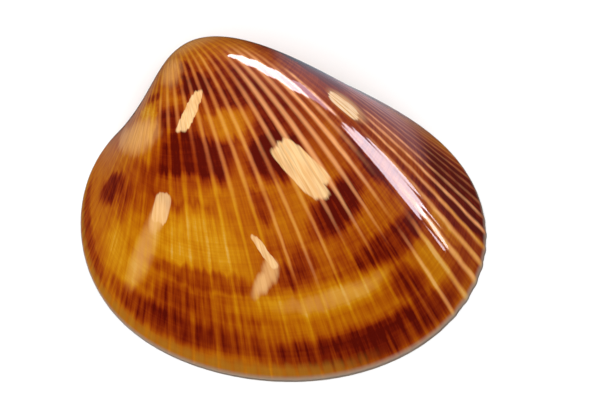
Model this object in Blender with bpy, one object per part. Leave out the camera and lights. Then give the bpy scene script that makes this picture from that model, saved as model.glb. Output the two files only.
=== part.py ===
"""Cockle shell: one valve, lying on its margin with the hollow down.

A valve grows by adding shell along its whole margin while the older shell turns up about the hinge axis, so every
growth line is the same outline, turned about that axis and shrunk. The valve is that growth spiral: rings of one
outline, from the margin (no turn) back to the beak. The hinge axis runs along X just above the margin's upper edge,
the shell's rear end is at +X and its lower edge at -Y. Metres, +Z up, standing on z = 0 with the origin under the
middle of its box.
"""
import math

import bmesh
import bpy
import numpy as np

# The margin, about its middle: a mean radius stretched along the shell, and four bulges (waves round the outline,
# share of the mean, direction in degrees). Directions run from 0 at the rear end, through 90 at the lower edge,
# to 180 at the front end and 270 under the beak. Places in the plane of the margin are from the hinge axis.
MARGIN_MIDDLE = (0.0018, -0.0166)
MEAN_RADIUS = 0.0202
LENGTH_STRETCH = 1.2
BULGES = ((1, 0.354, 77.6), (2, 0.112, 58.5), (3, 0.046, 57.0), (4, 0.021, -42.6))

# The growth spiral: the rings shrink a little faster the further back they lie
SHRINK_PER_RADIAN = 0.886
SHRINK_PER_RADIAN_SQUARED = 0.138
AXIS_LEAN = -5.2
BEAK_TURN = 146.0
BEAK_ROUNDING_TURN = 108.0

# The ribs: their count, where five of them cross the margin, and how far they stand out
RIB_COUNT = 43
MARKED_RIBS = (0, 12, 22, 33, 42)
MARKED_DIRECTIONS = (-14.0, 31.0, 73.1, 142.6, 213.0)
RIB_HEIGHT = 0.0002
RIB_SHRINK_POWER = 0.55
LOWER_EDGE_FADE = 0.6
REAR_FADE_DIRECTIONS = (-24.0, 24.0)
REAR_FADE_SHIFT_PER_TURN = 0.35
SMOOTH_CAP_TURN = 84.0

# The wall, the flat edge it rests on, and the hinge plate under the beak
RIM_WIDTH = 0.0022
WALL_SHRINK_POWER = 0.25
HINGE_WIDTH = 0.0038
HINGE_DIRECTION = 264.0
HINGE_SPREAD = 54.0
HINGE_RECESS = 0.0009
HINGE_RUNOUT_TURN = 12.0
CRENULATION = 0.00016
CRENULATION_TURN = 14.0
HOLLOW_TURN = 104.0

# Hinge teeth: direction, share of the way in from the margin, half sizes, and turn from the line of the margin
TEETH = (
    ("front cardinal tooth", 258.0, 0.66, (0.0011, 0.0005, 0.0007), 70.0),
    ("rear cardinal tooth", 267.0, 0.66, (0.0011, 0.0006, 0.0007), 115.0),
    ("front lateral tooth", 236.0, 0.68, (0.0019, 0.0005, 0.0006), 0.0),
    ("rear lateral tooth", 302.0, 0.68, (0.0025, 0.0005, 0.0006), 0.0),
)

# Turns of the mesh's rings outside and inside, and its columns along the hinge
OUTER_TURNS = (0.0, 2.0, 5.0, 9.0, 14.0, 19.0, 25.0, 31.0, 37.0, 44.0, 51.0, 58.0, 65.0, 72.0, 79.0, 86.0, 93.0,
               100.0, 108.0, 116.0, 124.0, 131.0, 137.0, 142.0, 145.0)
INNER_TURNS = (3.0, 8.0, 15.0, 24.0, 34.0, 45.0, 56.0, 67.0, 77.0, 86.0, 94.0, 100.0, 103.0)
HINGE_COLUMNS = 16


def smooth_step(value, start, end):
    """Rise from 0 to 1 as value goes from start to end."""
    share = np.clip((value - start) / (end - start), 0.0, 1.0)
    return share * share * (3.0 - 2.0 * share)


def shrink(turn):
    """Size of the growth ring at a turn, as a share of the margin."""
    radians = math.radians(turn)
    return math.exp(-SHRINK_PER_RADIAN * radians - SHRINK_PER_RADIAN_SQUARED * radians ** 2)


def rib_direction(rib):
    """Direction in which a rib crosses the margin, on a smooth curve through the marked ribs."""
    curve = np.polyfit(MARKED_RIBS, MARKED_DIRECTIONS, len(MARKED_RIBS) - 1)
    return np.polyval(curve, rib)


def margin_columns():
    """Directions of the mesh columns, with each one's rib wave: 1 on a crest, -1 in a furrow, 0 by the hinge."""
    half_ribs = np.arange(2 * RIB_COUNT - 1)
    ribbed = rib_direction(half_ribs / 2.0)
    wave = np.where(half_ribs % 2 == 0, 1.0, -1.0)
    plain = np.linspace(ribbed[-1], ribbed[0] + 360.0, HINGE_COLUMNS + 2)[1:-1]
    return np.concatenate([ribbed, plain]), np.concatenate([wave, np.zeros(HINGE_COLUMNS)])


def margin_offsets(direction):
    """Steps in x and y from the middle of the margin out to it."""
    radians = np.radians(direction)
    radius = np.ones_like(radians)
    for waves, share, towards in BULGES:
        radius += share * np.cos(waves * (radians - math.radians(towards)))
    radius *= MEAN_RADIUS
    return LENGTH_STRETCH * radius * np.cos(radians), -radius * np.sin(radians)


def hinge_share(direction):
    """1 on the hinge plate under the beak, falling to 0 round the rest of the margin."""
    away = np.abs((direction - HINGE_DIRECTION + 180.0) % 360.0 - 180.0)
    return 1.0 - smooth_step(away, 0.6 * HINGE_SPREAD, HINGE_SPREAD)


def turned_up(x, y, turn):
    """A point of the margin's plane, turned up about the hinge axis."""
    along, up = math.cos(math.radians(AXIS_LEAN)), math.sin(math.radians(AXIS_LEAN))
    cosine, sine = math.cos(math.radians(turn)), math.sin(math.radians(turn))
    return np.stack([
        x * (cosine + along * along * (1.0 - cosine)) + y * up * sine,
        y * cosine - x * up * sine,
        x * along * up * (1.0 - cosine) - y * along * sine,
    ], axis=-1)


def growth_ring(direction, turn, outwards):
    """One ring of the spiral, with each of its points moved out from the ring's middle by some metres."""
    step_x, step_y = margin_offsets(direction)
    share = shrink(turn) + outwards / np.hypot(step_x, step_y)
    x = shrink(turn) * MARGIN_MIDDLE[0] + share * step_x
    y = shrink(turn) * MARGIN_MIDDLE[1] + share * step_y
    return turned_up(x, y, turn)


def ring_middle(turn):
    """The middle of the ring at a turn."""
    return turned_up(shrink(turn) * MARGIN_MIDDLE[0], shrink(turn) * MARGIN_MIDDLE[1], turn)


def rib_height(direction, turn):
    """Half the depth of the ribs: highest at the rear, worn away on the umbo and low along the lower edge."""
    worn = 1.0 - smooth_step(turn, 0.75 * SMOOTH_CAP_TURN, 1.1 * SMOOTH_CAP_TURN)
    shift = REAR_FADE_SHIFT_PER_TURN * turn
    rear_slope = smooth_step(direction, REAR_FADE_DIRECTIONS[0] + shift, REAR_FADE_DIRECTIONS[1] + shift)
    lower_edge = smooth_step(direction, 60.0, 110.0) * (1.0 - smooth_step(turn, 5.0, 40.0))
    return RIB_HEIGHT * shrink(turn) ** RIB_SHRINK_POWER * worn * rear_slope * (1.0 - LOWER_EDGE_FADE * lower_edge)


def rim_inset(direction):
    """How far the flat edge reaches inwards from the margin."""
    return RIM_WIDTH + (HINGE_WIDTH - RIM_WIDTH) * hinge_share(direction)


def rounded_end(ring, middle, turn, start, end, power):
    """Draw a ring in towards its middle, so that the rings from start to end close a round end."""
    share = max(turn - start, 0.0) / (end - start)
    return middle + (ring - middle) * math.sqrt(1.0 - share ** power)


def outer_rings(direction, wave):
    """The ribbed outside, from the beak's tip down to the margin."""
    rings = []
    for turn in reversed(OUTER_TURNS):
        ring = growth_ring(direction, turn, rib_height(direction, turn) * wave)
        rings.append(rounded_end(ring, ring_middle(turn), turn, BEAK_ROUNDING_TURN, BEAK_TURN, 2))
    return rings


def rim_rings(direction, wave):
    """The flat edge, from the margin inwards, stepping up on to the hinge plate where that is."""
    margin = growth_ring(direction, 0.0, rib_height(direction, 0.0) * wave)
    inner = growth_ring(direction, 0.0, CRENULATION * wave - rim_inset(direction))
    rings = []
    for share, lifted in ((0.24, 0.0), (0.40, 1.0), (1.0, 1.0)):
        ring = margin * (1.0 - share) + inner * share
        ring[:, 2] = HINGE_RECESS * hinge_share(direction) * lifted
        rings.append(ring)
    return rings


def inner_rings(direction, wave):
    """The smooth hollow, from the edge up to its round end inside the umbo."""
    rings = []
    for turn in INNER_TURNS:
        near_hinge = hinge_share(direction) * math.exp(-(turn / HINGE_RUNOUT_TURN) ** 2)
        wall = RIM_WIDTH * shrink(turn) ** WALL_SHRINK_POWER + (HINGE_WIDTH - RIM_WIDTH) * near_hinge
        crenulation = CRENULATION * wave * (1.0 - smooth_step(turn, 0.0, CRENULATION_TURN))
        ring = growth_ring(direction, turn, crenulation - wall)
        ring = rounded_end(ring, ring_middle(turn), turn, 0.0, HOLLOW_TURN, 8)
        ring[:, 2] += HINGE_RECESS * near_hinge
        rings.append(ring)
    return rings


def loft(name, first_pole, rings, last_pole):
    """Skin a run of rings, with a pole at each end, as one closed mesh."""
    skin = bmesh.new()
    rows = [[skin.verts.new(point) for point in ring] for ring in rings]
    start = skin.verts.new(first_pole)
    end = skin.verts.new(last_pole)
    columns = len(rows[0])
    for column in range(columns):
        following = (column + 1) % columns
        skin.faces.new((start, rows[0][column], rows[0][following]))
        for row, next_row in zip(rows, rows[1:]):
            skin.faces.new((row[column], next_row[column], next_row[following], row[following]))
        skin.faces.new((rows[-1][column], end, rows[-1][following]))
    bmesh.ops.recalc_face_normals(skin, faces=skin.faces)
    bmesh.ops.triangulate(skin, faces=[face for face in skin.faces if len(face.verts) > 3])
    mesh = bpy.data.meshes.new(name)
    skin.to_mesh(mesh)
    skin.free()
    return mesh


def polished_shell_material():
    """Amber shell with a hard polish."""
    material = bpy.data.materials.new("polished shell")
    material.use_nodes = True
    finish = material.node_tree.nodes["Principled BSDF"]
    finish.inputs["Base Color"].default_value = (0.46, 0.17, 0.02, 1.0)
    finish.inputs["Roughness"].default_value = 0.22
    finish.inputs["Metallic"].default_value = 0.0
    return material


def add_tooth(name, direction, share, half_sizes, turn, shift, collection):
    """A rounded tooth sunk in the hinge plate, a shape that the valve is joined with."""
    step = 1.0
    beside = growth_ring(np.array([direction, direction + step]), 0.0, -share * HINGE_WIDTH)
    line = math.atan2(beside[1, 1] - beside[0, 1], beside[1, 0] - beside[0, 0])
    bpy.ops.mesh.primitive_uv_sphere_add(segments=12, ring_count=6, radius=1.0)
    tooth = bpy.context.object
    tooth.name = name
    tooth.scale = half_sizes
    tooth.rotation_euler = (0.0, 0.0, line + math.radians(turn))
    tooth.location = (beside[0, 0] + shift[0], beside[0, 1] + shift[1], HINGE_RECESS)
    tooth.hide_render = True
    tooth.display_type = 'WIRE'
    for home in tooth.users_collection:
        home.objects.unlink(tooth)
    collection.objects.link(tooth)
    return tooth


def add_valve(collection, tooth_collection):
    """The valve: the lofted spiral, joined with its hinge teeth."""
    direction, wave = margin_columns()
    rings = outer_rings(direction, wave) + rim_rings(direction, wave) + inner_rings(direction, wave)
    mesh = loft("valve", ring_middle(BEAK_TURN), rings, ring_middle(HOLLOW_TURN))
    points = np.array([vertex.co for vertex in mesh.vertices])
    shift = -(points.min(axis=0) + points.max(axis=0)) / 2.0
    for vertex in mesh.vertices:
        vertex.co.x += shift[0]
        vertex.co.y += shift[1]
    mesh.shade_smooth()
    mesh.set_sharp_from_angle(angle=math.radians(50.0))
    mesh.materials.append(polished_shell_material())
    valve = bpy.data.objects.new("valve", mesh)
    collection.objects.link(valve)
    for name, tooth_direction, share, half_sizes, turn in TEETH:
        tooth = add_tooth(name, tooth_direction, share, half_sizes, turn, shift, tooth_collection)
        join = valve.modifiers.new("join " + name, 'BOOLEAN')
        join.operation = 'UNION'
        join.solver = 'EXACT'
        join.object = tooth


for leftover in list(bpy.data.objects):
    bpy.data.objects.remove(leftover)
cockle_shell = bpy.data.collections.new("cockle shell")
teeth = bpy.data.collections.new("teeth joined to the valve")
bpy.context.scene.collection.children.link(cockle_shell)
bpy.context.scene.collection.children.link(teeth)
add_valve(cockle_shell, teeth)
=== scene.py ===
import math

import bmesh
import bpy
import numpy as np
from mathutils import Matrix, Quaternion, Vector


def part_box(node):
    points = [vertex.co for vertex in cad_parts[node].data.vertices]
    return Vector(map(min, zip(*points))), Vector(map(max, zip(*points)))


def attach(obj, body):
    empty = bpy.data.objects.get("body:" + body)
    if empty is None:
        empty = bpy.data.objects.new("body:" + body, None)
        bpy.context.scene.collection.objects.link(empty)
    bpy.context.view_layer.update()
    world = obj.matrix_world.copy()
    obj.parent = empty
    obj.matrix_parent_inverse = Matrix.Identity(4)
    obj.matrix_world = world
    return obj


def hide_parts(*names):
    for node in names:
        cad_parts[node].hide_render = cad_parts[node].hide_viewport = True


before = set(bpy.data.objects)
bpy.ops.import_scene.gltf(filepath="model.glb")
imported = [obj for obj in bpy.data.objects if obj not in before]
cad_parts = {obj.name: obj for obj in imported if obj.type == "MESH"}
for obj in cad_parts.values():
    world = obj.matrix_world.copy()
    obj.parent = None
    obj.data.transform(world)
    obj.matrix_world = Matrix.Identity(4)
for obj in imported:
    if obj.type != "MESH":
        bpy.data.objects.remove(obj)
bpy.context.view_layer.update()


# The valve
# One half of a cockle: a single piece of limy shell, polished, lying on its margin. It grew by its margin, so
# each growth line is the margin's outline, shrunk and turned up about the hinge axis, and ribs cross it.
# The mesh and the map of its colours are both a grid of ribs by growth lines.

# Lengths are in metres. Turns are in degrees, back from the margin, on the outside or in the hollow
VALVE_SIZES = {
    "Mean radius": 0.0202,
    "Length stretch": 1.2,
    "Middle along": 0.0018,
    "Middle across": -0.0166,
    "Shrink per radian": 0.886,
    "Shrink per radian squared": 0.138,
    "Axis lean": -5.2,
    "Beak turn": 146.0,
    "Beak rounding turn": 108.0,
    "Margin rib height": 0.00004,
    "Polished rib height": 0.000007,
    "Riblet height": 0.000012,
    "Growth line depth": 0.000008,
    "Edge rounding": 0.0003,
    "Edge rounding turn": 0.9,
    "Rim width": 0.0022,
    "Hinge width": 0.0038,
    "Hinge recess": 0.0009,
    "Crenulation": 0.00016,
    "Hollow turn": 104.0,
}
# The margin's bulges: waves round it, share of the mean radius, direction in degrees
BULGES = ((1, 0.354, 77.6), (2, 0.112, 58.5), (3, 0.046, 57.0), (4, 0.021, -42.6))

# The first rib is 0. Five of them are marked with the direction, in degrees, in which they cross the margin
LAST_RIB = 42
MARKED_RIBS = (0, 12, 22, 33, 42)
MARKED_DIRECTIONS = (-14.0, 31.0, 73.1, 142.6, 213.0)
# The ribs crowd forward round this one, by this many ribs, over this many to each side
CROWDED_RIB = (28.2, 0.36, 5.6)
# How far from the middle of a rib its crest ends and its furrow begins, as shares of a rib
RIB_PROFILE = (0.08, 0.34)
RIBLET_PROFILE = (0.02, 0.14)
NOTCH_PROFILE = (0.1, 0.4)
# The polish has left full ribs only along the rear of the margin: up to these turns, between these directions
FULL_RIB_TURNS = (0.5, 7.0)
FULL_RIB_RISE = (26.0, 42.0)
FULL_RIB_FALL = (52.0, 68.0)
# The turns over which the riblets end, and over which all ribs do
RIBLET_TURNS = (20.0, 45.0)
SMOOTH_CAP_TURNS = (63.0, 92.4)
# Noise of the growth lines: waves to a rib, waves to a degree of turn, octaves
GROWTH_LINES = (0.02, 0.55, 4.0)

# The hinge takes up as much of the grid as this many ribs. It spreads from its direction to either side by
# these angles, and runs out into the hollow over this turn, all in degrees
HINGE_RIBS = 10
RIBS_ROUND = LAST_RIB + HINGE_RIBS
HINGE_DIRECTION = 264.0
HINGE_SPREAD = (32.4, 54.0)
HINGE_RUNOUT_TURN = 12.0
# How far over the rim the hinge plate's step back begins and ends
PLATE_STEP = (0.24, 0.40)
# Hinge teeth: direction, share of the way in from the margin, half length, half width, height, and how far
# each is turned from the margin's line
TEETH = (
    (258.0, 0.66, 0.0011, 0.0005, 0.0007, 70.0),
    (267.0, 0.66, 0.0011, 0.0006, 0.0007, 115.0),
    (236.0, 0.68, 0.0019, 0.0005, 0.0006, 0.0),
    (302.0, 0.68, 0.0025, 0.0005, 0.0006, 0.0),
)
# The squares of the way out at which a tooth begins to fall and is gone, and the turns in the hollow over
# which it ends
TOOTH_EDGE = (0.2, 1.6)
TOOTH_INNER_TURNS = (1.0, 4.0)
# In the hollow: the turn at which the notches end, how slowly the wall thins, and how bluntly the hollow ends
NOTCH_TURN = 14.0
WALL_SHRINK_POWER = 0.25
HOLLOW_ROUNDNESS = 8.0

# The grid runs from the beak over the margin and up into the hollow. Its rows crowd towards the margin, and
# the points of its two ends are welded
COLUMNS_PER_RIB = 10
OUTSIDE_ROWS = 124
RIM_ROWS = 14
HOLLOW_ROWS = 36
OUTSIDE_CROWDING = 0.4
HOLLOW_CROWDING = (0.3, 1.2, -0.5)
WELD_DISTANCE = 0.0000005
GROWTH_MAP = "growth"
# The growth map gives the rim this many degrees between the outside's turn and the hollow's
RIM_ON_MAP = 10.0


class Wire:
    """A socket that can stand in a sum: each sum on it adds the Math nodes that work it out."""

    def __init__(self, tree, socket=None):
        self.tree = tree
        self.socket = socket

    def node(self, kind, settings=None, inputs=None, output=0):
        """Add a node, make its settings, fill its sockets with values or links, and return an output."""
        node = self.tree.nodes.new(kind)
        for name, value in (settings or {}).items():
            if name == "stops":
                self.set_stops(node.color_ramp, value)
            else:
                setattr(node, name, value)
        for place, value in (inputs or {}).items():
            if isinstance(value, Wire):
                self.tree.links.new(value.socket, node.inputs[place])
            else:
                node.inputs[place].default_value = value
        return Wire(self.tree, node.outputs[output])

    @staticmethod
    def set_stops(ramp, stops):
        for place, colour in stops[2:]:
            ramp.elements.new(place)
        for element, (place, colour) in zip(ramp.elements, stops):
            element.position = place
            element.color = colour

    def math(self, operation, *values):
        return self.node("ShaderNodeMath", {"operation": operation}, dict(enumerate(values)))

    def __add__(self, other):
        return self.math("ADD", self, other)

    def __radd__(self, other):
        return self.math("ADD", other, self)

    def __sub__(self, other):
        return self.math("SUBTRACT", self, other)

    def __rsub__(self, other):
        return self.math("SUBTRACT", other, self)

    def __mul__(self, other):
        return self.math("MULTIPLY", self, other)

    def __rmul__(self, other):
        return self.math("MULTIPLY", other, self)

    def __truediv__(self, other):
        return self.math("DIVIDE", self, other)

    def __pow__(self, other):
        return self.math("POWER", self, other)

    def __neg__(self):
        return self.math("MULTIPLY", self, -1.0)

    def __abs__(self):
        return self.math("ABSOLUTE", self)

    def least(self, other):
        return self.math("MINIMUM", self, other)

    def most(self, other):
        return self.math("MAXIMUM", self, other)

    def rise(self, start, end):
        """Rise smoothly from 0 to 1 as the wire goes from start to end."""
        settings = {"interpolation_type": 'SMOOTHSTEP'}
        return self.node("ShaderNodeMapRange", settings, {0: self, 1: start, 2: end})

    def fall(self, start, end):
        return 1.0 - self.rise(start, end)

    def parts(self):
        """The three numbers of a vector."""
        split = self.node("ShaderNodeSeparateXYZ", None, {0: self}).socket.node
        return [Wire(self.tree, output) for output in split.outputs]

    def vector(self, x, y, z=0.0):
        return self.node("ShaderNodeCombineXYZ", None, {0: x, 1: y, 2: z})

    def noise(self, x, y, octaves):
        """Smooth noise over the plane, from about 0 to 1 with its middle at a half."""
        inputs = {"Vector": self.vector(x, y), "Scale": 1.0, "Detail": octaves}
        return self.node("ShaderNodeTexNoise", {"noise_dimensions": '2D'}, inputs)


def sine(angle):
    """Sine of a wire, or of a number."""
    return angle.math("SINE", angle) if isinstance(angle, Wire) else math.sin(angle)


def cosine(angle):
    return angle.math("COSINE", angle) if isinstance(angle, Wire) else math.cos(angle)


def radians_of(degrees):
    """Radians, of a wire or of a number."""
    return degrees * math.radians(1.0)


def rib_direction(rib):
    """Direction in which a rib crosses the margin, in degrees, on a smooth curve through the marked ribs."""
    direction = 0.0
    for weight in np.polyfit(MARKED_RIBS, MARKED_DIRECTIONS, len(MARKED_RIBS) - 1):
        direction = direction * rib + float(weight)
    return direction


def column_direction(rib):
    """Direction of any column of the grid: the ribs' own, and then on round the hinge to the first rib."""
    first, last = rib_direction(0.0), rib_direction(float(LAST_RIB))
    beyond = (rib - LAST_RIB).most(0.0) / HINGE_RIBS
    middle, crowding, reach = CROWDED_RIB
    crowd = (1.0 - ((rib - middle) / reach) ** 2.0).most(0.0) ** 2.0
    return rib_direction(rib.least(LAST_RIB) - crowding * crowd) + beyond * (first + 360.0 - last)


def margin_offsets(size, direction):
    """Steps along and across from the middle of the margin out to it, for a direction in degrees."""
    angle = radians_of(direction)
    radius = 1.0
    for waves, share, towards in BULGES:
        radius = radius + share * cosine(waves * (angle - math.radians(towards)))
    radius = radius * size["Mean radius"]
    return size["Length stretch"] * radius * cosine(angle), -1.0 * radius * sine(angle)


def hinge_share(direction):
    """1 on the hinge plate under the beak, falling to 0 round the rest of the margin."""
    turned = direction - HINGE_DIRECTION + 180.0
    return abs(turned.math("FLOORED_MODULO", turned, 360.0) - 180.0).fall(*HINGE_SPREAD)


def rib_profile(rib, crest_to, furrow_from):
    """1 on a rib's crest, falling to 0 in the furrow."""
    from_crest = abs((rib + 0.5).math("FRACT", rib + 0.5) - 0.5)
    return from_crest.fall(crest_to, furrow_from)


def row_places(size, row):
    """A row's turn outside, its share of the way over the rim, and its turn in the hollow."""
    outside = ((OUTSIDE_ROWS - row) / OUTSIDE_ROWS).most(0.0)
    outer_turn = size["Beak turn"] * outside * (1.0 - OUTSIDE_CROWDING + OUTSIDE_CROWDING * outside)
    over_rim = ((row - OUTSIDE_ROWS) / RIM_ROWS).most(0.0).least(1.0)
    over_rim = 0.5 * over_rim.rise(0.0, 1.0) + 0.5 * over_rim
    inside = ((row - OUTSIDE_ROWS - RIM_ROWS) / HOLLOW_ROWS).most(0.0)
    first, second, third = HOLLOW_CROWDING
    inner_turn = size["Hollow turn"] * inside * (first + second * inside + third * inside * inside)
    return outer_turn, over_rim, inner_turn


def outside_relief(size, rib, direction, outer_turn, shrink, ribbed, hinge):
    """How far the outside stands out: what the polish left of the ribs, growth lines, and a rounded edge."""
    full = outer_turn.fall(*FULL_RIB_TURNS) * direction.rise(*FULL_RIB_RISE) * direction.fall(*FULL_RIB_FALL)
    height = size["Margin rib height"] * full + size["Polished rib height"] * shrink
    riblet = rib_profile(rib + 0.5, *RIBLET_PROFILE) * outer_turn.fall(*RIBLET_TURNS)
    relief = (2.0 * rib_profile(rib, *RIB_PROFILE) - 1.0) * height + size["Riblet height"] * riblet
    relief = relief * ribbed * outer_turn.fall(*SMOOTH_CAP_TURNS)
    per_rib, per_degree, octaves = GROWTH_LINES
    growth_lines = rib.noise(abs(rib - 0.5 * RIBS_ROUND) * per_rib, outer_turn * per_degree, octaves) - 0.5
    relief = relief + growth_lines * size["Growth line depth"] * shrink
    curl = (1.0 - outer_turn / size["Edge rounding turn"]).most(0.0)
    return relief - size["Edge rounding"] * (1.0 - hinge) * (1.0 - (1.0 - curl * curl) ** 0.5)


def turned_up(size, x, y, turn):
    """A point of the margin's plane, turned up about the leaning hinge axis."""
    lean = radians_of(size["Axis lean"])
    along, up = cosine(lean), sine(lean)
    cos_turn, sin_turn = cosine(radians_of(turn)), sine(radians_of(turn))
    turned_x = x * (cos_turn + along * along * (1.0 - cos_turn)) + y * up * sin_turn
    turned_y = y * cos_turn - x * up * sin_turn
    turned_z = x * along * up * (1.0 - cos_turn) - y * along * sin_turn
    return turned_x, turned_y, turned_z


def place_on_plate(direction, share):
    """A point of the hinge plate, in a direction and at a share of the way in from the margin."""
    out_x, out_y = margin_offsets(VALVE_SIZES, direction)
    inwards = 1.0 - share * VALVE_SIZES["Hinge width"] / math.hypot(out_x, out_y)
    return VALVE_SIZES["Middle along"] + inwards * out_x, VALVE_SIZES["Middle across"] + inwards * out_y


def tooth_shape(x, y, direction, share, half_length, half_width, turn):
    """1 on the middle of a hinge tooth, falling to 0 round it."""
    middle_x, middle_y = place_on_plate(direction, share)
    beside_x, beside_y = place_on_plate(direction + 1.0, share)
    line = math.atan2(beside_y - middle_y, beside_x - middle_x) + math.radians(turn)
    off_x, off_y = x - middle_x, y - middle_y
    lengthwise = (off_x * math.cos(line) + off_y * math.sin(line)) / half_length
    sidewise = (off_y * math.cos(line) - off_x * math.sin(line)) / half_width
    return (lengthwise ** 2.0 + sidewise ** 2.0).fall(*TOOTH_EDGE)


def growth_tree(finish):
    """The geometry nodes that grow the valve from its sizes."""
    tree = bpy.data.node_groups.new("grow the valve", "GeometryNodeTree")
    tree.interface.new_socket("Valve", in_out='OUTPUT', socket_type="NodeSocketGeometry")
    for name, value in VALVE_SIZES.items():
        tree.interface.new_socket(name, in_out='INPUT', socket_type="NodeSocketFloat").default_value = value
    start = Wire(tree)
    sizes = tree.nodes.new("NodeGroupInput")
    size = {name: Wire(tree, sizes.outputs[name]) for name in VALVE_SIZES}

    rows = OUTSIDE_ROWS + RIM_ROWS + HOLLOW_ROWS
    columns = RIBS_ROUND * COLUMNS_PER_RIB
    counts = {"Size X": 1.0, "Size Y": 1.0, "Vertices X": columns + 1, "Vertices Y": rows + 1}
    grid = start.node("GeometryNodeMeshGrid", None, counts)
    grid_x, grid_y, _ = start.node("GeometryNodeInputPosition").parts()
    rib = (grid_x + 0.5) * RIBS_ROUND
    outer_turn, over_rim, inner_turn = row_places(size, (grid_y + 0.5) * rows)
    turn = outer_turn + inner_turn
    radians = radians_of(turn)
    shrink = start.math("EXPONENT", -(radians * size["Shrink per radian"]
                                      + radians * radians * size["Shrink per radian squared"]))
    direction = column_direction(rib)
    step_x, step_y = margin_offsets(size, direction)
    hinge = hinge_share(direction)
    ribbed = rib.rise(0.0, 0.5) * rib.fall(LAST_RIB - 0.5, LAST_RIB + 0.5)

    # Over the rim the relief gives way to the wall, thicker at the hinge and notched by the rib ends
    relief = outside_relief(size, rib, direction, outer_turn, shrink, ribbed, hinge)
    near_hinge = hinge * start.math("EXPONENT", -((inner_turn / HINGE_RUNOUT_TURN) ** 2.0))
    wall = size["Rim width"] * shrink ** WALL_SHRINK_POWER
    wall = wall + (size["Hinge width"] - size["Rim width"]) * near_hinge
    notch = size["Crenulation"] * (2.0 * rib_profile(rib, *NOTCH_PROFILE) - 1.0)
    notch = notch * ribbed * inner_turn.fall(0.0, NOTCH_TURN)
    outwards = relief * (1.0 - over_rim) + (notch - wall) * over_rim

    # The ring is drawn in to a point where the beak and the hollow end round
    past_rounding = (outer_turn - size["Beak rounding turn"]).most(0.0)
    round_beak = past_rounding / (size["Beak turn"] - size["Beak rounding turn"])
    round_hollow = inner_turn / size["Hollow turn"]
    drawn_in = ((1.0 - round_beak ** 2.0) * (1.0 - round_hollow ** HOLLOW_ROUNDNESS)).most(0.0) ** 0.5
    share = drawn_in * (shrink + outwards / (step_x * step_x + step_y * step_y) ** 0.5)
    x = shrink * size["Middle along"] + share * step_x
    y = shrink * size["Middle across"] + share * step_y
    x, y, z = turned_up(size, x, y, turn)

    # The hinge plate stands back from the edge, and its teeth stand out of it
    on_plate = over_rim.rise(*PLATE_STEP)
    z = z + size["Hinge recess"] * near_hinge * on_plate
    for tooth_direction, tooth_share, half_length, half_width, height, tooth_turn in TEETH:
        tooth = tooth_shape(x, y, tooth_direction, tooth_share, half_length, half_width, tooth_turn)
        z = z - height * tooth * hinge * on_plate * inner_turn.fall(*TOOTH_INNER_TURNS)

    path = over_rim * RIM_ON_MAP + inner_turn - outer_turn
    shell = start.node("GeometryNodeStoreNamedAttribute", {"data_type": 'FLOAT2', "domain": 'CORNER'},
                       {"Geometry": grid, "Name": GROWTH_MAP, "Value": start.vector(rib, path)})
    place = start.vector(x, y, z)
    shell = start.node("GeometryNodeSetPosition", None, {"Geometry": shell, "Position": place})
    shell = start.node("GeometryNodeMergeByDistance", None, {"Geometry": shell, "Distance": WELD_DISTANCE})
    shell = start.node("GeometryNodeSetShadeSmooth", None, {"Geometry": shell, "Shade Smooth": True})
    shell = start.node("GeometryNodeRealizeInstances", None, {"Geometry": shell})
    shell = start.node("GeometryNodeSetMaterial", None, {"Geometry": shell, "Material": finish})
    tree.links.new(shell.socket, tree.nodes.new("NodeGroupOutput").inputs["Valve"])
    return tree


def paint(red, green, blue):
    """A colour as it looks on a screen, 0 to 255, made the light that a shader works with."""
    light = []
    for channel in (red, green, blue):
        share = channel / 255.0
        light.append(share / 12.92 if share < 0.04045 else ((share + 0.055) / 1.055) ** 2.4)
    return (*light, 1.0)


# The shell's own pigment, from the palest to the darkest
PIGMENTS = (
    (0.00, paint(216, 164, 74)),
    (0.15, paint(207, 140, 12)),
    (0.30, paint(192, 114, 1)),
    (0.45, paint(177, 91, 1)),
    (0.60, paint(158, 66, 1)),
    (0.75, paint(139, 46, 1)),
    (0.90, paint(112, 23, 1)),
    (1.00, paint(88, 11, 1)),
)
AMBER_PIGMENT = 0.40
# Shell that is worn, rubbed along the ribs, or missing its dark outer layer, which is ivory at the rear
# The tan also paints a highlight: a pale band across the lower field
TAN = paint(234, 174, 102)
PEACH = paint(248, 174, 112)
HONEY = paint(240, 186, 120)
CREAM = paint(250, 207, 148)
IVORY = paint(255, 224, 182)
# The newest shell, along the lower edge, and the grey of painted shade on the very margin
OLIVE = paint(168, 114, 30)
MARGIN_SHADE_GREY = paint(176, 162, 146)
# The inside
PORCELAIN = paint(240, 231, 214)
INNER_MARGIN = paint(222, 178, 118)
INNER_BEAK = paint(224, 190, 140)
SCAR = paint(226, 208, 178)

# The body of the shell, and the hard clear polish on it
POLISH = {
    "Roughness": 0.4,
    "IOR": 1.5,
    "Specular IOR Level": 0.05,
    "Coat Weight": 1.0,
    "Coat Roughness": 0.04,
}

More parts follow.
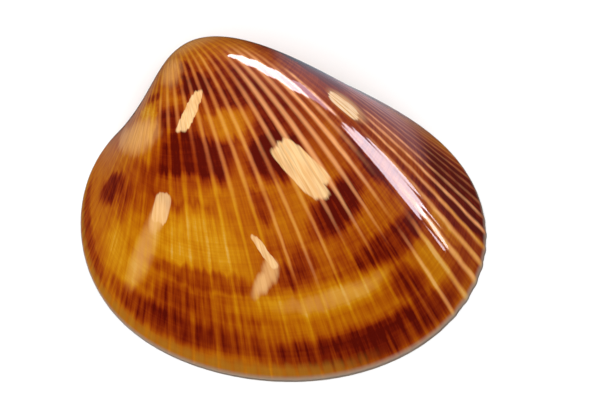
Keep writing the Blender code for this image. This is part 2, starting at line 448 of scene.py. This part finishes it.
# Patches on the growth map. Each has a strength, a middle (rib, turn), a reach (ribs, turn), and how many
# ribs it leans over for each degree of turn. These make the pigment darker than amber, or paler
PIGMENT_PATCHES = (
    # The rear slope
    (0.24, (11.6, 5.0), (2.8, 10.0), 0.0),
    (0.36, (13.0, 34.0), (5.7, 39.0), 0.0),
    (0.45, (10.6, 47.0), (2.8, 11.0), 0.0),
    (-0.16, (13.6, 24.0), (1.0, 6.0), 0.0),
    (0.28, (14.5, 7.0), (0.30, 7.5), 0.0),
    (-0.12, (15.4, 20.0), (1.7, 9.0), 0.0),
    (0.18, (15.5, 14.0), (0.25, 9.0), 0.0),
    (-0.30, (16.35, 10.0), (0.35, 4.0), 0.0),
    (-0.10, (17.7, 37.0), (1.6, 10.0), -0.06),
    (0.35, (17.95, 28.0), (0.40, 8.0), 0.0),
    (-0.20, (18.5, 8.0), (0.6, 4.3), 0.0),
    (0.14, (18.6, 29.0), (0.7, 5.5), 0.09),
    (-0.08, (19.2, 21.0), (1.6, 8.0), 0.0),
    (0.42, (19.6, 15.0), (2.2, 2.3), 0.07),
    # The umbo, and the dark band below it
    (0.08, (24.5, 75.0), (3.5, 7.0), 0.0),
    (-0.27, (25.1, 68.0), (0.8, 8.8), 0.0),
    (0.37, (28.0, 71.0), (1.0, 6.6), 0.0),
    (0.16, (29.0, 64.0), (1.6, 5.0), 0.0),
    (0.25, (27.1, 62.0), (2.3, 4.6), -0.19),
    (-0.20, (30.8, 60.0), (1.6, 5.0), 0.0),
    (0.30, (33.6, 60.5), (1.4, 2.4), -0.25),
    (0.22, (29.6, 58.0), (3.1, 11.0), 0.11),
    (0.45, (23.2, 54.0), (3.4, 18.0), 0.10),
    (-0.26, (34.2, 53.5), (1.6, 3.5), -0.20),
    (0.10, (31.5, 52.0), (1.2, 6.0), 0.0),
    (0.27, (31.2, 49.0), (2.1, 6.3), 0.0),
    (-0.40, (32.9, 49.0), (0.5, 4.3), -0.07),
    (-0.48, (25.8, 47.0), (2.6, 3.8), -0.05),
    (0.54, (29.2, 39.0), (3.1, 9.5), -0.18),
    (0.54, (23.6, 37.0), (1.9, 4.5), -0.05),
    (-0.38, (30.0, 33.0), (2.4, 3.0), -0.06),
    # The golden field in the middle
    (0.30, (25.4, 28.5), (0.6, 3.0), 0.0),
    (0.50, (21.3, 24.5), (1.8, 3.9), -0.25),
    (0.10, (20.8, 22.0), (1.9, 13.5), 0.0),
    (-0.26, (29.6, 21.0), (2.4, 7.0), 0.0),
    (0.22, (24.3, 18.0), (0.5, 2.6), 0.0),
    (0.24, (25.3, 16.6), (0.6, 2.0), 0.0),
    (0.12, (24.9, 16.0), (1.4, 5.7), 0.0),
    (0.30, (29.5, 15.6), (2.6, 1.7), 0.0),
    (0.16, (22.4, 15.0), (0.7, 2.4), 0.0),
    # The bands along the lower edge
    (-0.28, (24.3, 12.0), (3.8, 2.2), -0.07),
    (0.18, (30.5, 12.0), (1.0, 6.3), -0.17),
    (0.14, (29.4, 11.0), (3.5, 2.2), 0.0),
    (0.34, (20.1, 9.0), (0.7, 3.2), 0.0),
    (0.35, (31.0, 6.0), (3.8, 2.5), -0.09),
    (0.12, (23.4, 5.6), (2.6, 1.9), 0.0),
    (0.40, (22.3, 4.0), (4.7, 2.5), 0.28),
    (0.28, (37.8, 4.0), (2.7, 2.6), 0.06),
    # The front
    (0.15, (33.8, 30.0), (1.8, 6.0), 0.0),
    (0.26, (34.9, 23.0), (0.7, 5.2), 0.0),
    (0.50, (36.8, 21.0), (0.9, 7.2), -0.13),
    (-0.16, (32.5, 17.0), (0.62, 9.0), -0.07),
    (-0.13, (34.2, 14.0), (1.3, 9.0), 0.0),
    (-0.08, (34.2, 10.0), (1.6, 5.0), 0.0),
)
# These are worn to tan: two on the front flank and one below the beak. The one in the lower field is a
# painted highlight, a pale tan band
WORN_AND_HIGHLIGHT_PATCHES = (
    (0.80, (35.1, 43.2), (2.2, 7.6), -0.22),
    (0.60, (38.0, 35.0), (1.6, 7.0), -0.28),
    (0.50, (30.4, 77.0), (1.9, 11.0), 0.0),
    # Painted highlight: the pale tan band across the lower field
    (0.25, (23.6, 11.9), (2.4, 1.2), 0.0),
)
# These say how pale the ribs are rubbed
RUBBED_PATCHES = (
    (0.22, (10.0, 12.0), (5.0, 24.0), 0.0),
    (0.45, (13.0, 11.0), (0.5, 13.0), 0.0),
    (0.60, (13.5, 24.0), (1.3, 7.0), 0.0),
    (0.78, (14.1, 11.0), (0.75, 15.0), 0.0),
    (0.52, (15.2, 20.0), (1.2, 13.0), 0.0),
    (0.50, (16.5, 8.0), (1.7, 12.0), 0.0),
    (0.70, (17.0, 45.0), (0.5, 9.0), 0.0),
    (0.36, (18.4, 4.0), (1.4, 12.0), 0.0),
    (0.84, (20.4, 46.0), (3.0, 26.0), 0.0),
    (0.24, (23.9, 24.0), (1.7, 9.0), 0.0),
    (0.28, (25.6, 56.0), (3.4, 26.0), 0.0),
    (0.20, (30.0, 56.0), (2.5, 8.0), 0.0),
)
# The flecks, where the dark outer layer is missing, and where it thins out beside them
FLECKS = (
    (0.98, (28.55, 53.3), (0.72, 6.4), -0.21),
    (0.95, (21.85, 34.0), (0.66, 5.6), 0.10),
    (0.95, (22.42, 32.6), (0.66, 6.2), 0.10),
    (0.95, (15.05, 36.4), (0.90, 4.2), 0.04),
    (0.70, (31.65, 27.4), (0.56, 3.6), -0.06),
    (0.85, (26.1, 20.9), (0.24, 2.9), 0.13),
)
FLECK_TAILS = (
    (0.55, (14.6, 35.6), (1.35, 5.4), 0.04),
    (0.72, (31.95, 25.0), (0.48, 4.6), -0.07),
    (0.26, (32.6, 17.0), (0.60, 9.0), -0.07),
    (0.84, (26.55, 16.2), (0.44, 2.6), -0.20),
    (0.78, (26.05, 17.9), (0.46, 2.0), -0.06),
)
# Inside, the two scars of the muscles that closed the shell
MUSCLE_SCARS = (
    (0.9, (36.4, 31.0), (2.2, 11.0), 0.0),
    (0.9, (6.6, 31.0), (3.0, 11.0), 0.0),
)
# How soft the edges are: the squares of the way out at which a patch begins to fade, and is gone
PIGMENT_EDGE = (0.2, 1.8)
WORN_AND_HIGHLIGHT_EDGE = (0.0, 1.9)
SOFT_EDGE = (0.3, 1.5)
FLECK_EDGE = (0.6, 1.15)
FLECK_TAIL_EDGE = (0.0, 1.5)
SCAR_EDGE = (0.75, 1.1)
# Ovals are 1; the flecks are squarer
FLECK_SQUARENESS = 2.0


def patch(rib, turn, middle, reach, lean, edge, squareness=1.0):
    """1 inside a patch of the growth map, falling to 0 over its soft edge."""
    along = turn - middle[1]
    across = (rib - middle[0] - lean * along) / reach[0]
    along = along / reach[1]
    across, along = across * across, along * along
    if squareness > 1.0:
        across, along = across ** squareness, along ** squareness
    return (across + along).fall(*edge)


def strongest(rib, turn, patches, edge, squareness=1.0):
    """The strongest of the patches at each place."""
    most = 0.0
    for strength, middle, reach, lean in patches:
        most = (strength * patch(rib, turn, middle, reach, lean, edge, squareness)).most(most)
    return most


# Grain over the growth map: waves to a rib, waves to a degree of turn, octaves, and a shift of the noise
GRAINS = {
    "jags": (2.6, 0.05, 3.0, (0.0, 0.0)),
    "drift": (0.7, 0.2, 3.0, (31.0, 7.0)),
    "streaks": (6.0, 0.1, 3.0, (0.0, 0.0)),
    "lines": (0.15, 2.4, 3.0, (0.0, 0.0)),
    "clouds": (0.9, 0.3, 3.0, (5.0, 0.0)),
    "rib waves": (1.6, 0.3, 1.0, (0.0, 0.0)),
    "fleck ends": (3.5, 0.1, 2.0, (0.0, 0.0)),
    "fleck streaks": (5.0, 0.15, 2.0, (0.0, 0.0)),
}
# Over this many ribs the grain fades at both ends of the map
SEAM_FADE = 1.5


def all_grains(rib, turn):
    """Each kind of grain, from about -0.5 to 0.5, fading where the map's two ends meet."""
    seamless = rib.rise(0.0, SEAM_FADE) * rib.fall(RIBS_ROUND - SEAM_FADE, RIBS_ROUND)
    grains = {}
    for name, (per_rib, per_degree, octaves, shift) in GRAINS.items():
        noise = rib.noise(rib * per_rib + shift[0], turn * per_degree + shift[1], octaves)
        grains[name] = (noise - 0.5) * seamless
    return grains


def blend_colours(factor, under, over):
    return factor.node("ShaderNodeMix", {"data_type": 'RGBA'}, {0: factor, 6: under, 7: over}, 2)


# The turns over which young shell ends, and the ribs over which the rear ends and the front begins
YOUNG_TURNS = (18.0, 38.0)
REAR_RIBS = (17.0, 20.0)
FRONT_RIBS = (21.0, 24.0)
# How far the ribs' crests wave, and how wide they are to either side, in ribs, with what other shell adds
RIB_WAVE = 0.05
REAR_RIB_WAVE = 0.12
CREST_TOP = 0.02
CREST_WIDTH = 0.12
OLDER_CREST_WIDTH = 0.22
OLDER_FRONT_CREST_WIDTH = -0.08
REAR_CREST_WIDTH = 0.16
UMBO_CREST_WIDTH = 0.09
UMBO_CREST_TURNS = (42.0, 56.0)
RIBLET_LINE = (0.01, 0.13)


def rib_lines(rib, turn, grains, young, rear, front):
    """1 along the wavy crests of the ribs, and 1 along the riblets between them on young shell."""
    wavy_rib = rib + (RIB_WAVE + REAR_RIB_WAVE * rear) * grains["rib waves"]
    width = CREST_WIDTH + (OLDER_CREST_WIDTH + OLDER_FRONT_CREST_WIDTH * front) * (1.0 - young)
    width = width + REAR_CREST_WIDTH * young * rear + UMBO_CREST_WIDTH * turn.rise(*UMBO_CREST_TURNS)
    riblet = rib_profile(rib + 0.5, *RIBLET_LINE) * young * (1.0 - rear)
    return rib_profile(wavy_rib, CREST_TOP, width), riblet


# How much darker than the field the furrows are, and how much paler than the furrows the crests and riblets
# are. The crests in one patch at the rear are golden
FURROW_DARKENING = 0.07
CREST_PALING = 0.13
RIBLET_PALING = 0.10
FRONT_RIBLET_PALING = 0.06
FRONT_CREST_PALING = 0.26
GOLDEN_CREST_PALING = 0.42
GOLDEN_CRESTS = ((16.6, 5.0), (2.8, 10.0), 0.0)
# The front's pale crests begin at this turn, and by so much later past some ribs. The dark band dims them
PALE_CREST_TURN = 12.0
PALE_CREST_FADE = 12.0
LATER_CRESTS = ((4.0, (25.5, 26.5)), (16.0, (30.2, 31.2)))
PALE_CREST_PIGMENTS = (0.1, 0.8)
DARK_BAND = ((30.0, 40.0), (2.6, 7.0), 0.0)
DARK_BAND_DIMMING = 0.55
# The turns over which the rib lines end on the umbo, and where they are faint, in young shell at the front
RIB_LINE_TURNS = (84.0, 100.0)
FAINT_LINES = 0.6
FAINT_LINE_RIBS = (30.5, 33.0)
FAINT_LINE_TURNS = (18.0, 26.0)


def lines_in_pigment(rib, turn, pigment, crest, riblet, front):
    """What the furrows, crests and riblets add to the pigment, or take from it."""
    first_turn = PALE_CREST_TURN
    for later, from_ribs in LATER_CRESTS:
        first_turn = first_turn + later * rib.rise(*from_ribs)
    pale_crest = crest * front * turn.rise(first_turn, first_turn + PALE_CREST_FADE)
    pale_crest = pale_crest * pigment.rise(*PALE_CREST_PIGMENTS)
    pale_crest = pale_crest * (1.0 - DARK_BAND_DIMMING * patch(rib, turn, *DARK_BAND, SOFT_EDGE))
    golden_crest = crest * patch(rib, turn, *GOLDEN_CRESTS, SOFT_EDGE)
    lines = FURROW_DARKENING - CREST_PALING * crest
    lines = lines - (RIBLET_PALING - FRONT_RIBLET_PALING * front) * riblet
    lines = lines - FRONT_CREST_PALING * pale_crest - GOLDEN_CREST_PALING * golden_crest
    faint = FAINT_LINES * rib.rise(*FAINT_LINE_RIBS) * turn.fall(*FAINT_LINE_TURNS)
    return lines * turn.fall(*RIB_LINE_TURNS) * (1.0 - faint)


# The patches' edges wander: they jag by degrees of turn, more so on older shell, and drift by part of a rib
JAG = 1.2
OLDER_JAG = 4.0
OLDER_JAG_TURNS = (0.0, 40.0)
DRIFT = 0.8
# How strongly the grain shows in the pigment: streaks along the ribs, lines across them, and clouds
STREAKS = 0.28
DARK_STREAKS = 0.45
DARK_PIGMENTS = (0.25, 0.65)
LINES = 0.14
REAR_LINES = 0.16
CLOUDS = 0.30
# The cap of the umbo is worn to tan like the worn patches and the painted highlight, and all of them are
# streaky
WORN_CAP = 0.55
WORN_CAP_TURNS = (80.0, 96.0)
WORN_AND_HIGHLIGHT_SHARE = 0.9
WORN_AND_HIGHLIGHT_STREAKS = 1.4
WORN_CAP_STREAKS = 1.8
STREAKY_CAP_TURNS = (70.0, 85.0)
# Painted shade greys the very margin, and from these ribs on the newest shell has an olive border. The
# border's shares are that of the furrows, and what the crests and the riblets take off it
MARGIN_SHADE_SHARE = 0.85
MARGIN_SHADE_TURNS = (0.4, 1.5)
BORDER_RIBS = (22.0, 25.0)
BORDER_TURNS = (2.0, 3.6)
BORDER_JAG = 1.5
BORDER_SHARES = (0.65, 0.45, 0.35)
# Each rubbed rib has its own tone, from the first of these up by the second. It is streaky, beaded at the
# rear and dimmer on the umbo, and it ends towards the margin and the cap
RIB_TONES = (0.75, 0.4)
RUBBED_STREAKS = 0.8
RUBBED_BEADS = 1.6
RUBBED_UMBO_DIMMING = 0.25
RUBBED_UMBO_TURNS = (40.0, 56.0)
RUBBED_MARGIN_TURNS = (0.6, 1.6)
RUBBED_CAP_TURNS = (66.0, 90.0)
# Noise of the beads, each rib's apart from the next one's: a step for each rib, waves to a degree, octaves
BEADS = (7.3, 0.4, 2.0)
# The flecks have ragged ends and streaky edges. The honey in them is the first of these, varied by the second
FLECK_RAGGEDNESS = 1.6
FLECK_TAIL_STREAKS = 1.2
FLECK_SHARE = 0.94
FLECK_STREAKS = 1.2
FLECK_HONEY = (0.25, 5.0)


def outside_colour(rib, turn, grains):
    """Amber with its bands and rib lines, then what is worn, newly grown, rubbed or missing, a painted
    highlight, and painted shade on the margin.
    """
    young = turn.fall(*YOUNG_TURNS)
    rear = rib.fall(*REAR_RIBS)
    front = rib.rise(*FRONT_RIBS)
    streaks = grains["streaks"]
    wandering_turn = turn + grains["jags"] * (JAG + OLDER_JAG * turn.rise(*OLDER_JAG_TURNS))
    wandering_rib = rib + DRIFT * grains["drift"]

    pigment = AMBER_PIGMENT
    for change, middle, reach, lean in PIGMENT_PATCHES:
        pigment = pigment + change * patch(wandering_rib, wandering_turn, middle, reach, lean, PIGMENT_EDGE)
    dark_streaks = DARK_STREAKS * young * (1.0 - rear) * pigment.rise(*DARK_PIGMENTS)
    pigment = pigment + (STREAKS + dark_streaks) * streaks
    pigment = pigment + (LINES + REAR_LINES * rear) * grains["lines"] + CLOUDS * grains["clouds"]
    crest, riblet = rib_lines(rib, turn, grains, young, rear, front)
    pigment = pigment + lines_in_pigment(rib, turn, pigment, crest, riblet, front)
    colour = pigment.node("ShaderNodeValToRGB", {"stops": PIGMENTS}, {0: pigment})

    # Worn tan patches, and one painted highlight in the lower field
    worn_and_highlight = strongest(wandering_rib, wandering_turn, WORN_AND_HIGHLIGHT_PATCHES, WORN_AND_HIGHLIGHT_EDGE)
    worn_and_highlight = worn_and_highlight.most(WORN_CAP * wandering_turn.rise(*WORN_CAP_TURNS))
    worn_and_highlight_streaks = WORN_AND_HIGHLIGHT_STREAKS + WORN_CAP_STREAKS * turn.rise(*STREAKY_CAP_TURNS)
    colour = blend_colours(worn_and_highlight * (WORN_AND_HIGHLIGHT_SHARE + worn_and_highlight_streaks * streaks), colour, TAN)

    border = (turn + BORDER_JAG * grains["jags"]).fall(*BORDER_TURNS) * rib.rise(*BORDER_RIBS)
    furrow_share, off_crest, off_riblet = BORDER_SHARES
    border = (furrow_share - off_crest * crest - off_riblet * riblet) * border
    colour = blend_colours(border, colour, OLIVE)
    # Painted shade: a grey band along the very margin
    colour = blend_colours(MARGIN_SHADE_SHARE * turn.fall(*MARGIN_SHADE_TURNS), colour, MARGIN_SHADE_GREY)

    rib_number = (rib + 0.5).math("FLOOR", rib + 0.5)
    rib_tone = rib.node("ShaderNodeTexWhiteNoise", {"noise_dimensions": '1D'}, {"W": rib_number})
    step, per_degree, octaves = BEADS
    beads = (rib.noise(rib_number * step, turn * per_degree, octaves) - 0.5) * rear
    rubbed = strongest(rib, turn, RUBBED_PATCHES, SOFT_EDGE) * (RIB_TONES[0] + RIB_TONES[1] * rib_tone)
    rubbed = rubbed * (1.0 + RUBBED_STREAKS * streaks + RUBBED_BEADS * beads)
    rubbed = rubbed * (1.0 - RUBBED_UMBO_DIMMING * turn.rise(*RUBBED_UMBO_TURNS))
    rubbed = rubbed * turn.rise(*RUBBED_MARGIN_TURNS) * turn.fall(*RUBBED_CAP_TURNS)
    colour = blend_colours(crest * rubbed, colour, PEACH)

    ragged_turn = turn + FLECK_RAGGEDNESS * grains["fleck ends"]
    thinned = strongest(rib, ragged_turn, FLECK_TAILS, FLECK_TAIL_EDGE)
    colour = blend_colours(thinned * (1.0 + FLECK_TAIL_STREAKS * streaks), colour, HONEY)
    honey = FLECK_HONEY[0] + FLECK_HONEY[1] * grains["fleck streaks"]
    fleck_colour = blend_colours(honey, blend_colours(rear, CREAM, IVORY), HONEY)
    flecked = strongest(rib, ragged_turn, FLECKS, FLECK_EDGE, FLECK_SQUARENESS)
    flecked = (flecked * (FLECK_SHARE + FLECK_STREAKS * streaks)).least(1.0)
    return blend_colours(flecked, colour, fleck_colour)


# Along the map's path, the inside's colours begin over the rim. The rest of these turns are in the hollow:
# where the tan margin ends, where the tan beak begins, and the line that the mantle was fixed along
INNER_START = (1.0, 6.0)
INNER_BEAK_TURNS = (45.0, 95.0)
INNER_MARGIN_TURNS = (-1.0, 9.0)
INNER_MARGIN_SHARE = 0.8
INNER_MARGIN_JAG = 6.0
MANTLE_LINE_TURN = 19.0
MANTLE_LINE_HALF_WIDTH = 0.9
MANTLE_LINE_EDGE = (0.5, 1.0)
MANTLE_LINE_SHARE = 0.7
MANTLE_LINE_DRIFT = 2.0
MANTLE_LINE_RISE = (3.0, 6.0)
MANTLE_LINE_FALL = (36.0, 39.0)
SCAR_DRIFT = 3.0


def inside_colour(rib, path, grains):
    """Porcelain, tan round the margin and in the beak, with the scars of the muscles and the mantle."""
    inner_turn = path - RIM_ON_MAP
    colour = blend_colours(inner_turn.rise(*INNER_BEAK_TURNS), PORCELAIN, INNER_BEAK)
    ragged_turn = inner_turn + INNER_MARGIN_JAG * grains["jags"]
    colour = blend_colours(INNER_MARGIN_SHARE * ragged_turn.fall(*INNER_MARGIN_TURNS), colour, INNER_MARGIN)
    from_line = abs(inner_turn + MANTLE_LINE_DRIFT * grains["drift"] - MANTLE_LINE_TURN)
    line = MANTLE_LINE_SHARE * (from_line / MANTLE_LINE_HALF_WIDTH).fall(*MANTLE_LINE_EDGE)
    line = line * rib.rise(*MANTLE_LINE_RISE) * rib.fall(*MANTLE_LINE_FALL)
    wandering_rib = rib + DRIFT * grains["drift"]
    scars = strongest(wandering_rib, inner_turn + SCAR_DRIFT * grains["drift"], MUSCLE_SCARS, SCAR_EDGE)
    return blend_colours(scars.most(line), colour, SCAR)


def polished_shell():
    """The finish: colour bands and patches under a hard clear polish outside, porcelain inside."""
    material = bpy.data.materials.new("polished cockle shell")
    material.use_nodes = True
    tree = material.node_tree
    tree.nodes.clear()
    start = Wire(tree)
    rib, path, _ = start.node("ShaderNodeUVMap", {"uv_map": GROWTH_MAP}).parts()
    turn = (-path).most(0.0)
    grains = all_grains(rib, turn)
    outside = outside_colour(rib, turn, grains)
    inside = inside_colour(rib, path, grains)
    colour = blend_colours(path.rise(*INNER_START), outside, inside)
    finish = start.node("ShaderNodeBsdfPrincipled", None, {"Base Color": colour, **POLISH})
    tree.links.new(finish.socket, tree.nodes.new("ShaderNodeOutputMaterial").inputs["Surface"])
    return material


def grow_valve():
    """The valve as a plain mesh, with the origin under the middle of its box as in the CAD model."""
    grower = bpy.data.objects.new("grower", bpy.data.meshes.new("grower"))
    bpy.context.scene.collection.objects.link(grower)
    nodes = grower.modifiers.new("grow", 'NODES')
    tree = growth_tree(polished_shell())
    nodes.node_group = tree
    for socket in tree.interface.items_tree:
        if socket.item_type == 'SOCKET' and socket.in_out == 'INPUT':
            nodes[socket.identifier] = VALVE_SIZES[socket.name]
    depsgraph = bpy.context.evaluated_depsgraph_get()
    grown = grower.evaluated_get(depsgraph)
    mesh = bpy.data.meshes.new_from_object(grown, preserve_all_data_layers=True, depsgraph=depsgraph)
    bpy.data.objects.remove(grower)
    mesh.name = "polished_valve"
    places = np.empty(len(mesh.vertices) * 3)
    mesh.vertices.foreach_get("co", places)
    places = places.reshape(-1, 3)
    low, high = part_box("valve")
    middle = (places.min(axis=0) + places.max(axis=0)) / 2.0
    places[:, 0] += (low.x + high.x) / 2.0 - middle[0]
    places[:, 1] += (low.y + high.y) / 2.0 - middle[1]
    mesh.vertices.foreach_set("co", places.ravel())
    mesh.update()
    valve = bpy.data.objects.new("polished_valve", mesh)
    bpy.context.scene.collection.objects.link(valve)
    return valve


valve = grow_valve()
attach(valve, "root")
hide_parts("valve")


# The floor
# A plain pale table top that the valve's margin lies on. It isn't part of the object, and the polish doesn't
# mirror it.
FLOOR_SIZE = 3.0
FLOOR_COLOUR = (0.95, 0.95, 0.95, 1.0)
FLOOR_ROUGHNESS = 0.7


def pale_table_top():
    material = bpy.data.materials.new("pale floor")
    material.use_nodes = True
    surface = material.node_tree.nodes["Principled BSDF"]
    surface.inputs["Base Color"].default_value = FLOOR_COLOUR
    surface.inputs["Roughness"].default_value = FLOOR_ROUGHNESS
    return material


floor_mesh = bpy.data.meshes.new("floor")
floor_shape = bmesh.new()
bmesh.ops.create_grid(floor_shape, x_segments=1, y_segments=1, size=FLOOR_SIZE / 2.0)
floor_shape.to_mesh(floor_mesh)
floor_shape.free()
floor_mesh.materials.append(pale_table_top())
floor = bpy.data.objects.new("floor", floor_mesh)
bpy.context.scene.collection.objects.link(floor)
floor.visible_glossy = False


# The studio light
# Two wide soft lights that the polish doesn't mirror, and long low windows behind the rear slope, whose
# reflections are the pale streaks along it. The rest of the room is dark but for a pale haze low behind.
WHITE = (1.0, 1.0, 1.0)
LILAC = (0.94, 0.90, 1.0)
VIOLET = (0.80, 0.70, 1.0)
# Soft lights: name, azimuth and elevation in degrees, side in metres, power in watts
SOFT_LIGHTS = (
    ("overhead", (-60.0, 80.0), 2.4, 32.5),
    ("behind", (175.0, 45.0), 1.6, 6.0),
)
SOFT_LIGHT_DISTANCE = 1.2
# Windows: name, azimuth and elevation, width and height, tilt in degrees, power, colour
WINDOWS = (
    ("near window", (94.5, 24.0), (0.58, 0.17), 5.0, 3.6, LILAC),
    ("near window's end", (72.0, 17.0), (0.24, 0.06), 24.0, 0.45, LILAC),
    ("far window", (150.5, 15.5), (0.60, 0.17), -28.0, 4.4, LILAC),
    ("far window's end", (130.0, 18.0), (0.30, 0.09), -28.0, 0.4, VIOLET),
)
WINDOW_DISTANCE = 0.8

ROOM = (0.015, 0.013, 0.012, 1.0)
HAZE = (0.70, 0.62, 0.74, 1.0)
SLATE = (0.30, 0.42, 0.50, 1.0)
TABLE = (0.30, 0.30, 0.33, 1.0)
# Parts of the room: azimuth and elevation of the middle, and the cosines of the angles from it at which the
# part begins and is whole. The haze is where its two parts meet, outside the clear part, and the slate part
# tints it
HAZE_PARTS = ((227.0, 36.0, -0.51, -0.45), (145.0, -35.0, 0.55, 0.80))
CLEAR_PART = (230.0, 0.0, 0.06, 0.14)
SLATE_PART = (230.0, 0.0, -0.02, 0.07)
TABLE_PART = (-120.0, -50.0, 0.84, 0.96)


def aimed(azimuth, elevation):
    """The direction at an azimuth (0 towards -Y, 90 towards +X) and an elevation, both in degrees."""
    azimuth, elevation = math.radians(azimuth), math.radians(elevation)
    level = math.cos(elevation)
    return Vector((level * math.sin(azimuth), -level * math.cos(azimuth), math.sin(elevation)))


def area_light(name, direction, distance, tilt, power, colour):
    """An area light in a direction from the valve, facing it, hidden from the camera."""
    lamp = bpy.data.lights.new(name, 'AREA')
    lamp.energy = power
    lamp.color = colour
    light = bpy.data.objects.new(name, lamp)
    bpy.context.scene.collection.objects.link(light)
    away = aimed(*direction)
    turned = Quaternion((0.0, 0.0, 1.0), math.radians(tilt))
    light.location = away * distance
    light.rotation_euler = (away.to_track_quat('Z', 'Y') @ turned).to_euler()
    light.visible_camera = False
    return light


def part_of_room(room, azimuth, elevation, begins, whole):
    """1 round a direction, falling to 0 away from it."""
    towards = room.node("ShaderNodeTexCoord")
    inputs = {0: towards, 1: aimed(azimuth, elevation)}
    return room.node("ShaderNodeVectorMath", {"operation": 'DOT_PRODUCT'}, inputs, 1).rise(begins, whole)


for name, direction, side, power in SOFT_LIGHTS:
    soft_light = area_light(name, direction, SOFT_LIGHT_DISTANCE, 0.0, power, WHITE)
    soft_light.data.shape = 'SQUARE'
    soft_light.data.size = side
    soft_light.visible_glossy = False
for name, direction, (width, height), tilt, power, colour in WINDOWS:
    window = area_light(name, direction, WINDOW_DISTANCE, tilt, power, colour)
    window.data.shape = 'ELLIPSE'
    window.data.size = width
    window.data.size_y = height
    window.visible_diffuse = False

world = bpy.data.worlds.new("dark room")
world.use_nodes = True
room = Wire(world.node_tree)
hazy = 1.0 - part_of_room(room, *CLEAR_PART)
for haze_part in HAZE_PARTS:
    hazy = hazy * part_of_room(room, *haze_part)
haze = blend_colours(part_of_room(room, *SLATE_PART), HAZE, SLATE)
seen = blend_colours(part_of_room(room, *TABLE_PART), ROOM, TABLE)
seen = blend_colours(hazy, seen, haze)
world.node_tree.links.new(seen.socket, world.node_tree.nodes["Background"].inputs["Color"])
bpy.context.scene.world = world
bpy.context.scene.view_settings.view_transform = 'Standard'


# The camera
# High over the lower edge and a little towards the front end, as in the photograph, with a long lens. The
# distances are in metres, and the lens and its sensor in millimetres.
CAMERA_AZIMUTH = -20.16
CAMERA_ELEVATION = 74.75
CAMERA_DISTANCE = 0.2402
CAMERA_AIM = Vector((0.00282, -0.00138, 0.005))
CAMERA_LENS = 116.25
CAMERA_SENSOR = 36.0
CAMERA_NEAREST = 0.01
CAMERA_FARTHEST = 10.0

lens = bpy.data.cameras.new("camera")
lens.sensor_width = CAMERA_SENSOR
lens.lens = CAMERA_LENS
lens.clip_start = CAMERA_NEAREST
lens.clip_end = CAMERA_FARTHEST
camera = bpy.data.objects.new("camera", lens)
bpy.context.scene.collection.objects.link(camera)
back = aimed(CAMERA_AZIMUTH, CAMERA_ELEVATION)
camera.location = CAMERA_AIM + CAMERA_DISTANCE * back
camera.rotation_euler = back.to_track_quat('Z', 'Y').to_euler()
bpy.context.scene.camera = camera
